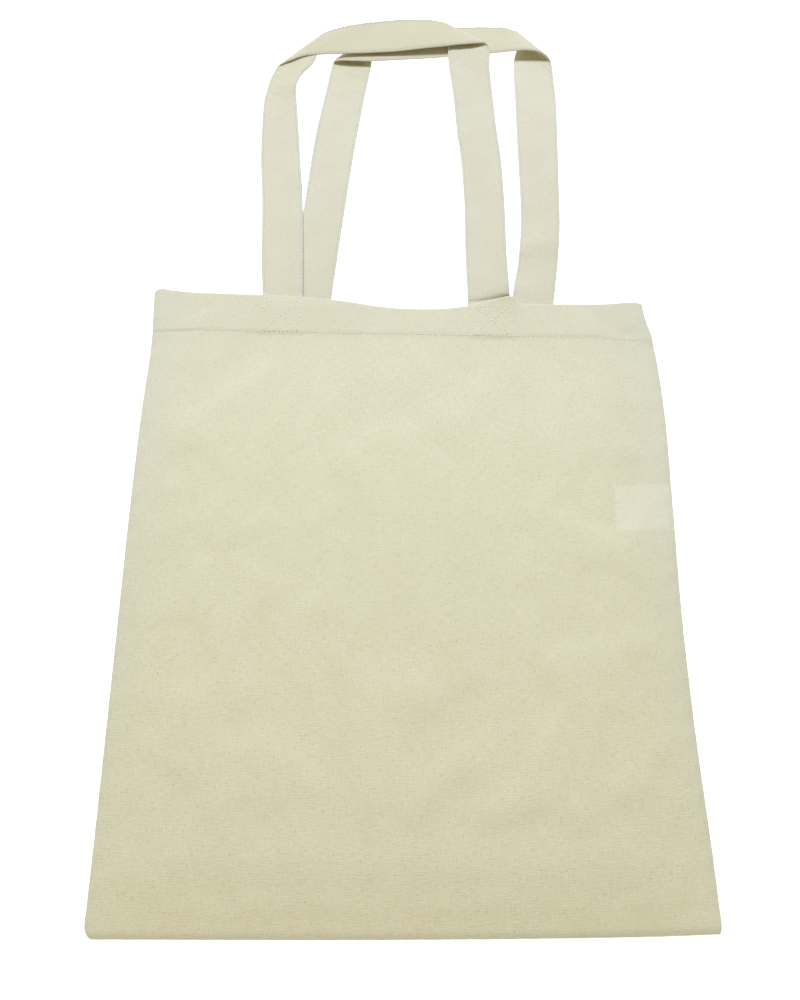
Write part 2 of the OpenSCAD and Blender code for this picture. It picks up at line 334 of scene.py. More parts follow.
        # A strap is toned slightly yellower along the middle of its length
        length = add(tree, "ShaderNodeSeparateXYZ", {"Vector": uv})
        ends = [add(tree, "ShaderNodeMapRange", {"Value": length.outputs["Y"], "From Min": place,
                                                 "From Max": inward}).outputs["Result"]
                for place, inward in ((marked[0], marked[0] + 0.06), (marked[1], marked[1] - 0.06))]
        middle_span = add(tree, "ShaderNodeMath", {0: ends[0], 1: ends[1]}, operation="MULTIPLY")
        yellower_tone = add(tree, "ShaderNodeMix", {"Factor": 1.0, "A": base, "B": (0.955, 0.93, 0.86, 1.0)},
                       data_type="RGBA", blend_type="MULTIPLY")
        base = add(tree, "ShaderNodeMix", {"Factor": middle_span.outputs["Value"], "A": base,
                                           "B": yellower_tone.outputs["Result"]},
                   data_type="RGBA").outputs["Result"]
    link(base, surface.inputs["Base Color"])

    # Plain weave: yarns over and under by turns
    yarns = []
    for direction in ("X", "Y"):
        wave = add(tree, "ShaderNodeTexWave", {"Vector": uv, "Scale": pi/10/(2*THREAD_GAP)},
                   wave_type="BANDS", bands_direction=direction)
        yarns.append(add(tree, "ShaderNodeMath", {0: wave.outputs["Fac"], 1: 2.0, 2: -1.0},
                         operation="MULTIPLY_ADD").outputs["Value"])
    weave = add(tree, "ShaderNodeMath", {0: yarns[0], 1: yarns[1]}, operation="MULTIPLY")
    slubs = add(tree, "ShaderNodeMath", {0: heights[0], 1: heights[1]}, operation="ADD")
    height = add(tree, "ShaderNodeMath", {0: slubs.outputs["Value"], 1: 2.0,
                                          2: weave.outputs["Value"]}, operation="MULTIPLY_ADD")
    height = add(tree, "ShaderNodeMath", {0: fine.outputs["Fac"], 1: 1.5,
                                          2: height.outputs["Value"]}, operation="MULTIPLY_ADD")
    relief = add(tree, "ShaderNodeBump", {"Height": height.outputs["Value"], "Strength": relief_strength,
                                          "Distance": 0.00012})
    link(relief.outputs["Normal"], surface.inputs["Normal"])
    return material


def label_cotton():
    # Woven label tape: smoother and whiter than the bag's cloth, with a fine rib across it
    material, tree, surface = new_material("woven_label_tape", 0.7, sheen=0.1, specular=0.3)
    uv = add(tree, "ShaderNodeUVMap", uv_map="cloth").outputs["UV"]
    rib = add(tree, "ShaderNodeTexWave", {"Vector": uv, "Scale": pi/10/0.0006}, bands_direction="Y")
    # The rib's grooves are toned darker: painted shade, matching the bump
    tone = add(tree, "ShaderNodeMix", {"Factor": rib.outputs["Fac"], "A": linear("#EEEAD9"),
                                       "B": linear("#FBF9F0")}, data_type="RGBA")
    relief = add(tree, "ShaderNodeBump", {"Height": rib.outputs["Fac"], "Strength": 0.4,
                                          "Distance": 0.0001})
    tree.links.new(tone.outputs["Result"], surface.inputs["Base Color"])
    tree.links.new(relief.outputs["Normal"], surface.inputs["Normal"])
    return material


def thread_cotton(name, plain, deep):
    # Spun cotton sewing thread: a tight twist, with a little more gloss than the cloth
    material, tree, surface = new_material(name, 0.75, sheen=0.1, specular=0.3)
    uv = add(tree, "ShaderNodeUVMap", uv_map="cloth").outputs["UV"]
    ply = add(tree, "ShaderNodeMapping", {"Vector": uv, "Rotation": (0.0, 0.0, 0.6)})
    # A twist every 0.7 mm; the grooves of the twist are toned darker, which is painted shade
    twist = add(tree, "ShaderNodeTexWave", {"Vector": ply.outputs["Vector"], "Scale": pi/10/0.0007},
                bands_direction="Y")
    tone = add(tree, "ShaderNodeMix", {"Factor": twist.outputs["Fac"], "A": linear(deep),
                                       "B": linear(plain)}, data_type="RGBA")
    relief = add(tree, "ShaderNodeBump", {"Height": twist.outputs["Fac"], "Strength": 0.5,
                                          "Distance": 0.0001})
    tree.links.new(tone.outputs["Result"], surface.inputs["Base Color"])
    tree.links.new(relief.outputs["Normal"], surface.inputs["Normal"])
    return material


# ---- The bag's outline and the height of its two layers ----

# How far the side seams bow out of true, along the bag
left_bow = curve((-210, 1.7), (-168, 1.7), (-100, 1.1), (-30, 0.4), (50, -0.4), (117, -0.1),
                 (173, 1.3), (214, -0.7))
right_bow = curve((-210, 0.4), (-168, -0.1), (-100, -1.9), (-30, -1.9), (50, 0.9), (118, 2.8),
                  (160, 1.2), (178, -0.6), (190, -3.6), (204, -5.1))
bottom_bow = curve((-190, 0.8), (0, 0.6), (100, 1.4), (150, 2.2), (190, 3.4))
# The mouth's edge dips in the middle and is dragged up a little by the front right leg
mouth_line = curve((-191, 211.5), (-189.5, 213.6), (-186.5, 214.7), (-178, 213.3), (-150, 209.3),
                   (-119, 207.2), (-90, 206.3), (-66, 204.6), (-43, 202.0), (-15, 197.6),
                   (10, 195.8), (35, 196.2), (50, 198.0), (66, 201.4), (78, 204.2), (84, 205.0),
                   (87.5, 202.4), (92, 200.2), (102, 199.5), (125, 199.2), (155, 200.2),
                   (180, 202.6), (184, 202.2), (190, 199.5))
hem_line = curve((-190, 178.7), (-90, 177.2), (0, 175.3), (90, 173.4), (150, 172.1), (190, 171.6))

# Where the straps are sewn in: middle across the bag and lean of the sewn box
STRAP_ENDS = {"front_left": (-90.5, 0.0), "front_right": (68.5, 0.06), "back_left": (-69.0, 0.0),
              "back_right": (102.0, 0.0)}


def left_side(y):
    up = np.clip(y - BOTTOM, 0, CORNER_R)
    return LEFT + left_bow(y) + CORNER_R - np.sqrt(CORNER_R**2 - (CORNER_R - up)**2)


def right_side(y):
    up = np.clip(y - BOTTOM, 0, CORNER_R)
    return RIGHT + right_bow(y) - CORNER_R + np.sqrt(CORNER_R**2 - (CORNER_R - up)**2)


def slack_waves():
    """Lets a cloth with a little spare length settle between pinned seams.

    Returns the waves it forms, in mm, as a function of the place.
    """
    step = 5.0
    nx, ny = 75, 83
    xs = (np.arange(nx) - (nx - 1)/2)*step
    ys = BOTTOM + 2 + np.arange(ny)*step
    x, y = np.meshgrid(xs, ys)
    z = front_dome(x, y)
    start = z + rng.normal(0, 0.05, z.shape)
    faces = [(i*nx + j, i*nx + j + 1, (i + 1)*nx + j + 1, (i + 1)*nx + j)
             for i in range(ny - 1) for j in range(nx - 1)]
    points = np.stack([x, y, start], -1).reshape(-1, 3)
    cloth = make_object("settling_cloth", points, faces, np.zeros((len(points), 2)), label_cotton())
    pins = cloth.vertex_groups.new(name="seams")
    marked = [i*nx + j for i in range(ny) for j in range(nx) if i == 0 or j in (0, nx - 1)]
    pins.add(marked, 1.0, "REPLACE")
    modifier = cloth.modifiers.new("settle", "CLOTH")
    fabric = modifier.settings
    fabric.quality = 5
    fabric.mass = 0.15
    fabric.tension_stiffness = 15
    fabric.compression_stiffness = 15
    fabric.shear_stiffness = 5
    fabric.bending_stiffness = 0.35
    fabric.vertex_group_mass = "seams"
    fabric.shrink_min = -0.012
    fabric.effector_weights.gravity = 0.01
    modifier.collision_settings.use_collision = False
    for number in range(1, 26):
        bpy.context.scene.frame_set(number)
    settled = cloth.evaluated_get(bpy.context.evaluated_depsgraph_get())
    flat = np.empty(len(points)*3)
    settled.data.vertices.foreach_get("co", flat)
    field = flat.reshape(-1, 3)[:, 2].reshape(ny, nx)/MM - z
    bpy.data.objects.remove(cloth)
    bpy.context.scene.frame_set(1)
    # Keep the folds and leave out the broad rise and fall of the whole sheet
    field = blur(field, 1) - blur(field, 9)
    field = np.clip(field, -1.0, 1.0)

    def at(px, py):
        # Cubic B-spline between the settled points, so no facets show
        fx = np.clip((px - xs[0])/step, 1, nx - 2.001)
        fy = np.clip((py - ys[0])/step, 1, ny - 2.001)
        ix, iy = fx.astype(int), fy.astype(int)
        total = 0
        for a, wa in zip((-1, 0, 1, 2), spline_weights(fy - iy)):
            for b, wb in zip((-1, 0, 1, 2), spline_weights(fx - ix)):
                total = total + wa*wb*field[np.clip(iy + a, 0, ny - 1), np.clip(ix + b, 0, nx - 1)]
        return total
    return at


def spline_weights(t):
    return ((1 - t)**3/6, (3*t**3 - 6*t**2 + 4)/6, (-3*t**3 + 3*t**2 + 3*t + 1)/6, t**3/6)


def blur(field, times):
    """Averages each point with its neighbours, again and again."""
    for _ in range(times*times):
        padded = np.pad(field, 1, mode="edge")
        field = (padded[1:-1, 1:-1]*2 + padded[:-2, 1:-1] + padded[2:, 1:-1]
                 + padded[1:-1, :-2] + padded[1:-1, 2:])/6
    return field


def front_dome(x, y):
    """The plain shape of the front layer: low at the seams and risen over most of the bag."""
    side = np.minimum(x - LEFT, RIGHT - x)
    low = y - BOTTOM
    rise = smooth(side/52)**0.8*smooth(low/46)**0.8
    return FRONT_EDGE_Z + ROLL + (FRONT_CROWN_Z - FRONT_EDGE_Z - ROLL)*rise


def front_height(x, y):
    """Height of the middle of the front panel's outer layer."""
    side = np.minimum(x - left_side(y), right_side(y) - x)
    low = y - BOTTOM - bottom_bow(x)
    edge = np.clip(np.minimum(side, low), 0, None)
    z = front_dome(x, y)
    # The cloth rolls down onto the seams, over the thick allowances inside
    z = z - ROLL*np.exp(-(edge/2.1)**2) + 0.08*np.exp(-((edge - 6.5)/3.5)**2)
    room = smooth(edge/38)
    z = z + room*0.55*settled_waves(x, y) + 0.10*room*waves(x, y, 55, 3)
    # Little drags along the side seams and the bottom seam
    drag = np.exp(-(edge/11)**2)
    z = z + 0.12*drag*np.sin(2*pi*(y + 9*np.sin(x*0.05))/17)*(side < low)
    z = z + 0.10*drag*np.sin(2*pi*(x + 7*np.sin(y*0.06))/15)*(side >= low)
    # The hem: two layers above its stitch line, which pulls a shallow puckered groove
    over = y - hem_line(x)
    z = z + 0.50*smooth((over + 2.6)/4.6)
    z = z - (0.09 + 0.66*bump(x, -168, 26) + 0.20*bump(x, 132, 26))*bump(over, 0, 0.95)
    pucker = np.sin(2*pi*x/8.3 + 2.2*np.sin(x/23)) + 0.7*np.sin(2*pi*x/5.1 + 1.7*np.sin(x/31))
    z = z + 0.13*pucker*np.exp(-(over/7.5)**2)*smooth(edge/12)
    # Strap ends inside the hem raise it, with the box of stitches pulled down
    for name in ("front_left", "front_right"):
        middle, lean = STRAP_ENDS[name]
        off = np.abs(x - middle - lean*(y - 190))
        z = z + 0.55*smooth((STRAP_W/2 + 2.6 - off)/3.4)*smooth((over + 3.0)/3.0)
        z = z - 0.20*bump(off, STRAP_W/2 - 1.8, 1.1)*smooth(over/2.5)
    # The mouth's edge stands up a little beside the front right leg and droops between legs
    reach = mouth_line(x) - y
    z = z + 2.2*smooth((x - 48)/34)*smooth((90 - x)/6)*np.exp(-np.clip(reach, 0, None)/7)
    z = z + 0.5*bump(x, -118, 16)*np.exp(-np.clip(reach, 0, None)/12)
    z = z - 0.5*bump(x, 15, 40)*np.exp(-np.clip(reach, 0, None)/10)
    # Diagonal pulls below the right end of the hem
    along = (x - 150) + (y - 150)*0.9
    z = z + 0.35*np.sin(along/5.5)*bump(x, 172, 16)*bump(y, 158, 17)
    # A dimple at the right end of the hem's stitch line
    z = z - 0.7*bump(x, 171, 6)*bump(y, 176, 4)
    return z


def back_height(x, y):
    """Height of the middle of the back panel's outer layer, which lies on the table."""
    side = np.minimum(x - left_side(y), right_side(y) - x)
    low = y - BOTTOM - bottom_bow(x)
    edge = np.clip(np.minimum(side, low), 0, None)
    return BACK_Z + 0.10*smooth(edge/30)*(1 + waves(x, y, 60, 8))/2


# ---- Panels ----

def fold_steps(width, drop, end_gap=1.6):
    """Columns of a turned-in edge: (distance in from the edge, drop, flat distance past the edge)."""
    inner = [(d, drop, d) for d in np.arange(width, 0.9, -end_gap)]
    r = drop/2
    arc = [(r*(1 - np.cos(a)), r + r*np.sin(a), r*a) for a in (pi/2, pi/4)]
    apex = [(0.0, r, 0.0)]
    out = [(r*(1 - np.cos(a)), r - r*np.sin(a), -r*a) for a in (pi/4, pi/2)]
    return inner + arc + apex + out


def spread(start, stop, fine, coarse, ramp=14):
    """Places from start to stop, close together at both ends and wider in the middle."""
    places = [start]
    while places[-1] < stop:
        near = min(places[-1] - start, stop - places[-1])
        places.append(places[-1] + fine + (coarse - fine)*min(1.0, near/ramp))
    places = np.array(places)
    return start + (places - start)*(stop - start)/(places[-1] - start)


def panel_grid(height, layer_side, gap):
    """Grid of points, flat-cloth map and mask for a panel.

    layer_side is -1 for turned layers below the outer one, and gap is the widest step.
    """
    turned = fold_steps(ALLOWANCE, LAYER)
    turned_hem = fold_steps(HEM_DEPTH, LAYER, 1.8)
    r = LAYER/2
    half = (RIGHT - LEFT)/2
    # Columns: (side, distance in from that side or share across, drop, flat place)
    outer_left = spread(r, half, 0.9, gap)[1:]
    columns = [(-1, d, drop, -half - flat) for d, drop, flat in turned]
    columns += [(-1, d, 0.0, -half + d) for d in outer_left]
    columns += [(1, d, drop, -flat) for _, d, drop, flat in reversed(columns[:-1])]
    deep = np.array([c[2] > r + 1e-6 for c in columns])
    high = float(mouth_line(0.0)) - BOTTOM
    rows = [("low", d, drop, -flat) for d, drop, flat in turned]
    body = spread(r, high - HEM_DEPTH - 6, 0.9, gap)[1:]
    rows += [("low", d, 0.0, d) for d in body]
    hem_places = np.linspace(HEM_DEPTH + 6, r, 34)[1:-1]
    rows += [("high", d, 0.0, high - d) for d in hem_places]
    rows += [("high", d, drop, high + flat) for d, drop, flat in reversed(turned_hem)]
    row_deep = np.array([rw[2] > r + 1e-6 for rw in rows])

    side = np.array([c[0] for c in columns])[None, :]
    inset = np.array([c[1] for c in columns])[None, :]
    col_drop = np.array([c[2] for c in columns])[None, :]
    flat_x = np.array([c[3] for c in columns])[None, :]
    from_low = np.array([rw[0] == "low" for rw in rows])[:, None]
    along = np.array([rw[1] for rw in rows])[:, None]
    row_drop = np.array([rw[2] for rw in rows])[:, None]
    flat_y = np.array([rw[3] for rw in rows])[:, None]

    # First guess of the place across, to read the mouth and the bottom line at
    x = np.where(side < 0, LEFT + inset, RIGHT - inset)
    x = x + 0*along
    for _ in range(3):
        bottom = BOTTOM + bottom_bow(x)
        mouth = mouth_line(x)
        stretch = (mouth - bottom - HEM_DEPTH - 6)/(high - HEM_DEPTH - 6)
        y = np.where(from_low, bottom + along*np.where(along > CORNER_R, stretch, 1.0), mouth - along)
        share = inset/half
        middle = (left_side(y) + right_side(y))/2
        half_here = (right_side(y) - left_side(y))/2
        x_far = middle + side*half_here*(1 - share)
        x_near = np.where(side < 0, left_side(y) + inset, right_side(y) - inset)
        x = x_near + (x_far - x_near)*smooth((inset - 8)/30)
    z = height(x, y) + layer_side*np.clip(col_drop + row_drop, 0, LAYER)
    points = np.stack([x, y, z], -1)
    flat = np.stack([flat_x + 0*y, flat_y + 0*x], -1)*MM
    # Cloth is cut away where an allowance would meet another one or the hem
    corner = deep[None, :] & row_deep[:, None]
    keep = ~(corner[:-1, :-1] | corner[1:, :-1] | corner[:-1, 1:] | corner[1:, 1:])
    return points, flat, keep


def mark_points(piece, name, value):
    """Stores a number for each point of a mesh, for its material to read."""
    mark = piece.data.attributes.new(name, "FLOAT", "POINT")
    mark.data.foreach_set("value", value.astype(np.float32))


def mark_hem(piece):
    """Stores, from 0 to 1, the greyer tone on the hem and a little below it, and the painted shade
    beside the seams and the bottom edge.
    """
    places = mesh_places(piece)/MM
    x, y = places[:, 0], places[:, 1]
    below = np.clip(hem_line(x) - y, 0, None)
    side = np.clip(np.minimum(x - left_side(y), right_side(y) - x), 0, None)
    low = np.clip(y - BOTTOM - bottom_bow(x), 0, None)
    width = 5 + 17*smooth((y - BOTTOM)/330)
    # The rim value is painted shade beside the side seams and along the bottom edge
    for name, value in (("hem", 0.85*np.exp(-below/11)),
                        ("rim", np.maximum(np.exp(-side/width), np.exp(-low/2.5)))):
        mark_points(piece, name, value)


def grid_faces(nr, nc, keep, turned_over):
    faces = []
    for i in range(nr - 1):
        for j in range(nc - 1):
            if keep[i, j]:
                a = i*nc + j
                face = (a, a + 1, a + nc + 1, a + nc)
                faces.append(face[::-1] if turned_over else face)
    return faces


def only_used(faces, points, uv):
    used = np.unique(np.array([v for f in faces for v in f]))
    number = {int(v): k for k, v in enumerate(used)}
    faces = [tuple(number[v] for v in f) for f in faces]
    return faces, points[used], uv[used], used


def thicken(piece, thickness):
    solid = piece.modifiers.new("thickness", "SOLIDIFY")
    solid.thickness = thickness*MM
    solid.offset = 0.0
    solid.use_even_offset = False
    apply_modifiers(piece)


def mesh_places(piece):
    flat = np.empty(len(piece.data.vertices)*3)
    piece.data.vertices.foreach_get("co", flat)
    return flat.reshape(-1, 3)


def front_cloth(material):
    """The front panel in two halves, whose shared middle line keeps one set of points and normals."""
    points, flat, keep = panel_grid(front_height, -1, 2.05)
    nr, nc = points.shape[:2]
    faces = grid_faces(nr, nc, keep, False)
    faces, co, uv, _ = only_used(faces, points.reshape(-1, 3), flat.reshape(-1, 2))
    whole = make_object("front_cloth", co, faces, uv, material)
    thicken(whole, CLOTH_T)
    places = mesh_places(whole)
    normals = np.array([tuple(v.normal) for v in whole.data.vertices])
    middle = (nc - 1)//2
    flat_x = uv[:, 0]
    count = len(co)
    halves = []
    for name, sign in (("front_cloth_left", -1), ("front_cloth_right", 1)):
        side_faces = [f for f in faces if sign*np.mean(flat_x[list(f)]) > 0]
        side_faces, side_co, side_uv, used = only_used(side_faces, co, uv)
        half = make_object(name, side_co, side_faces, side_uv, material)
        thicken(half, CLOTH_T)
        same = np.concatenate([used, used + count])
        half.data.vertices.foreach_set("co", places[same].ravel())
        half.data.update()
        half.data.normals_split_custom_set_from_vertices(normals[same].tolist())
        mark_hem(half)
        halves.append(half)
    bpy.data.objects.remove(whole)
    for half, start, end in zip(halves, SEAM_X, FREE_X):
        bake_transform(half)
        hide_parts("front_panel")
    return halves


def back_cloth(material):
    points, flat, keep = panel_grid(back_height, 1, 2.4)
    nr, nc = points.shape[:2]
    faces = grid_faces(nr, nc, keep, True)
    faces, co, uv, _ = only_used(faces, points.reshape(-1, 3), flat.reshape(-1, 2))
    piece = make_object("back_cloth", co, faces, uv, material)
    thicken(piece, CLOTH_T)
    mark_hem(piece)
    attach(piece, "back")
    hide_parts("back_panel")
    return piece


# ---- Stitching ----

def select_ring(rod, x):
    shape = bmesh.from_edit_mesh(rod.data)
    for point in shape.verts:
        point.select_set(abs(point.co.x - x) < 0.01)
    shape.select_flush_mode()
    bmesh.update_edit_mesh(rod.data)


def one_stitch(long, radius):
    """A stitch along X, in mm: a short rod whose ends narrow and dip into the cloth."""
    bpy.ops.object.select_all(action="DESELECT")
    bpy.ops.mesh.primitive_cylinder_add(vertices=5, radius=radius, depth=long,
                                        rotation=(0.0, pi/2, 0.0))
    rod = bpy.context.object
    bpy.ops.object.transform_apply(location=False, rotation=True, scale=False)
    bpy.ops.object.mode_set(mode="EDIT")
    bpy.context.tool_settings.mesh_select_mode = (True, False, False)
    for share in (-0.36, 0.0, 0.36):
        bpy.ops.mesh.select_all(action="SELECT")
        bpy.ops.mesh.bisect(plane_co=(share*long, 0.0, 0.0), plane_no=(1.0, 0.0, 0.0))
    for share, narrow, lift in ((-0.5, 0.45, -0.30), (-0.36, 1.0, 0.02), (0.0, 1.0, 0.10),
                                (0.36, 1.0, 0.02), (0.5, 0.45, -0.30)):
        select_ring(rod, share*long)
        bpy.ops.transform.resize(value=(1.0, narrow, narrow), center_override=(share*long, 0.0, 0.0))
        bpy.ops.transform.translate(value=(0.0, 0.0, lift))
    bpy.ops.object.mode_set(mode="OBJECT")
    points = np.array([tuple(point.co) for point in rod.data.vertices])
    faces = [tuple(face.vertices) for face in rod.data.polygons]
    bpy.data.objects.remove(rod)
    return points, faces


def stitches(lines, long=2.7, gap=0.75, radius=STITCH_R):
    """Copies of one stitch along lines of (points, normals): points, faces and flat map."""
    model, model_faces = one_stitch(long, radius)
    turn = np.arctan2(model[:, 2], model[:, 1])
    points, faces, uv = [], [], []
    for line, up in lines:
        run = np.concatenate([[0], np.cumsum(np.linalg.norm(np.diff(line, axis=0), axis=1))])
        number = int(run[-1]//(long + gap))
        for k in range(number):
            start = (k + 0.5)*run[-1]/number - long/2
            at = start + long/2 + model[:, 0]
            middle = np.stack([np.interp(at, run, line[:, i]) for i in range(3)], -1)
            above = np.stack([np.interp(at, run, up[:, i]) for i in range(3)], -1)
            above /= np.linalg.norm(above, axis=1)[:, None]
            ahead = middle[np.argmax(model[:, 0])] - middle[np.argmin(model[:, 0])]
            ahead = ahead/np.linalg.norm(ahead)
            # With X ahead and Z up, Y of the model lies to the left
            across = np.cross(above, ahead)
            first = len(points)*len(model)
            points.append(middle + across*model[:, 1:2] + above*model[:, 2:3])
            faces += [tuple(first + v for v in face) for face in model_faces]
            uv.append(np.stack([turn*radius, at], -1)*MM)
    return np.concatenate(points), faces, np.concatenate(uv)


def stitching(name, lines, material, node, **spacing):
    points, faces, uv = stitches(lines, **spacing)
    piece = make_object(name, points, faces, uv, material)
    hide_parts(node)
    return piece


def surface_line(xs, ys, height, lift, up=1.0):
    """A line on a panel's face, with its normals."""
    xs, ys = np.asarray(xs, float), np.asarray(ys, float)
    e = 0.5
    z = height(xs, ys)
    dx = (height(xs + e, ys) - height(xs - e, ys))/(2*e)
    dy = (height(xs, ys + e) - height(xs, ys - e))/(2*e)
    normal = np.stack([-dx, -dy, np.ones_like(z)], -1)
    normal /= np.linalg.norm(normal, axis=1)[:, None]
    return np.stack([xs, ys, z], -1) + normal*lift*up, normal*up


def box_lines(middle, lean, height, lift, up=1.0, top_gap=4.5, inner=STRAP_W - 3.6):
    """The four sides and the cross of a sewn box at a strap's end."""
    low_y = hem_line(middle) + 0.8
    high_y = mouth_line(middle) - top_gap
    corners = {}
    for key, (sx, y) in {"a": (-1, low_y), "b": (1, low_y), "c": (1, high_y), "d": (-1, high_y)}.items():
        corners[key] = (middle + lean*(y - 190) + sx*inner/2, y)
    lines = []
    for start, end in ("ab", "bc", "cd", "da", "ac", "bd"):
        t = np.linspace(0, 1, 30)
        xs = corners[start][0] + (corners[end][0] - corners[start][0])*t
        ys = corners[start][1] + (corners[end][1] - corners[start][1])*t
        lines.append(surface_line(xs, ys, height, lift, up))
    return lines


def panel_stitching(material):
    face = CLOTH_T/2 + 0.02
    for side, (name, low_x, high_x) in enumerate((("left", -186.5, 0.0), ("right", 0.0, 183.5))):
        xs = np.linspace(low_x, high_x, 160)
        line = surface_line(xs, hem_line(xs), front_height, face)
        piece = stitching("front_hem_stitching_" + name, [line], material, "front_hem_thread")
        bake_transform(piece)
    xs = np.linspace(-178, 176, 300)
    lines = [surface_line(xs, hem_line(xs), back_height, LAYER + face),
             surface_line(xs, hem_line(xs), back_height, face, -1.0)]
    piece = stitching("back_hem_stitching", lines, material, "back_hem_thread")
    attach(piece, "back")
    for name in ("front_left", "front_right"):
        middle, lean = STRAP_ENDS[name]
        piece = stitching(name + "_box_stitching", box_lines(middle, lean, front_height, face),
                          material, name + "_box_thread", long=2.0, gap=1.1, radius=0.27)
        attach(piece, "front")
    for name in ("back_left", "back_right"):
        middle, lean = STRAP_ENDS[name]
        lines = box_lines(middle, lean, back_height, LAYER + CLOTH_T/2 + STRAP_T + 0.38)
        lines += box_lines(middle, lean, back_height, face, -1.0)
        piece = stitching(name + "_box_stitching", lines, material, name + "_box_thread")
        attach(piece, "back")


def seam_stitching(material):
    """Straight seams joining the two allowances, just inside the bag's edge."""
    z = BACK_Z + LAYER + CLOTH_T/2 + 0.12
    in_from_edge = 0.75
    seams = []
    for name, side_of, inward in (("left", left_side, 1), ("right", right_side, -1)):
        ys = np.linspace(BOTTOM + 9, float(mouth_line(LEFT if inward > 0 else RIGHT)) - 3, 260)
        seams.append((name, side_of(ys) + inward*in_from_edge, ys))
    xs = np.linspace(LEFT + 11, RIGHT - 11, 260)
    seams.append(("bottom", xs, BOTTOM + bottom_bow(xs) + in_from_edge))
    for name, xs, ys in seams:
        line = np.stack([xs, ys, z + 0*ys], -1)
        up = np.tile([0.0, 0.0, 1.0], (len(ys), 1))
        piece = stitching(name + "_seam_stitching", [(line, up)], material, name + "_seam_thread",
                          long=2.3, gap=0.5, radius=0.17)
        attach(piece, "back")


# ---- Label ----

def care_label(material):
    low, high = [np.array(corner)/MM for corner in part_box("care_label")]
    xs = np.linspace(low[0], high[0] - 0.3, 30)
    ys = np.linspace(low[1], high[1], 26)
    x, y = np.meshgrid(xs, ys)
    side = right_side(y) - x
    x = x + (right_side(y) - RIGHT)
    base = BACK_Z + LAYER + CLOTH_T/2 + 0.10
    free = smooth((side - 9)/26)
    z = base + 0.9*free + 0.25*free*np.sin(y/5.0)
    points = np.stack([x, y, z], -1).reshape(-1, 3)
    uv = np.stack([x, y], -1).reshape(-1, 2)*MM
    faces = grid_faces(len(ys), len(xs), np.ones((len(ys) - 1, len(xs) - 1), bool), False)
    piece = make_object("blank_care_label", points, faces, uv, material)
    thicken(piece, 0.16)
    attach(piece, "back")
    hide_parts("care_label")
    return piece


# ---- Straps ----

# A strap is a row of lines across it, each from its left to its right edge on the way up the
# left leg, over the first soft fold, along the top run and down the right leg.
FRONT_STRAP = (
    # sewn inside the hem
    ((-106, 181, 6.2), (-75, 181, 6.2)), ((-105.5, 196, 6.2), (-75, 196, 6.2)),
    # leaves the mouth and comes down to the table
    ((-106.5, 211, 6.2), (-75.5, 211, 6.2)), ((-109, 237, 4.8), (-76.5, 237, 5.2)),
    ((-112.5, 295, 2.6), (-79.5, 295, 3.8)), ((-116, 334, 1.7), (-83, 333, 3.7)),
    ((-117, 364, 1.5), (-85.5, 361, 4.6)), ((-117, 390, 1.5), (-88, 388, 6.4)),
    ((-115.2, 403, 1.6), (-89, 400, 8.0)), ((-112.7, 415, 1.8), (-87.5, 408.5, 8.7)),
    ((-110.3, 421.5, 2.2), (-83.5, 416.5, 9.0)),
    # the first fold, turned along a diagonal
    ((-108.2, 426, 2.7), (-77.5, 423.5, 9.1)), ((-106.6, 428.1, 3.5), (-73, 433, 9.2)),
    ((-105, 428.3, 4.7), (-71, 449, 9.5)), ((-103, 428.2, 5.9), (-68.5, 456, 10.3)),
    ((-94, 430.5, 8), (-58, 460, 12.3)), ((-82, 434, 9.2), (-47, 462.5, 13.2)),
    # the top run
    ((-61, 435.3, 10), (-32, 465, 13.8)), ((-33.5, 435.5, 10.8), (-15.5, 467, 14.2)),
    ((-5, 436.3, 12), (0, 468, 14.6)), ((20.5, 438, 13.8), (13, 467.5, 15.1)),
    ((44, 439.7, 15.2), (24, 466.5, 15.7)), ((62.5, 441.5, 15.4), (33.5, 464.5, 15.8)),
    # the second fold
    ((71.5, 443, 14.2), (40, 462.5, 15)), ((75, 442.5, 12.6), (43, 461, 13.4)),
    ((76.5, 440, 11.3), (43.5, 456.5, 12)), ((76.5, 435.5, 10.7), (41.5, 449.5, 11.3)),
    ((76, 428, 10), (40.5, 440, 10.8)), ((76, 418, 9), (40.8, 428, 10)),
    # down the right leg and into the hem
    ((77, 405, 7.7), (42.3, 411, 8.9)), ((78, 390.5, 6.5), (44.5, 391.5, 7.3)),
    ((80, 361, 5.2), (46.5, 360.5, 5.6)), ((82.5, 332, 4.4), (49.5, 331.5, 4.6)),
    ((83.5, 290, 3.9), (51, 290, 4)), ((83, 248, 4.6), (50.5, 248, 4.6)),
    ((83.5, 214.5, 5.9), (51, 210, 6)), ((84, 208.3, 1.9), (51, 201.5, 5.2)),
    ((83, 200, 6.2), (51.5, 194, 6.2)), ((82.5, 177, 6.2), (51.5, 177, 6.2)),
)
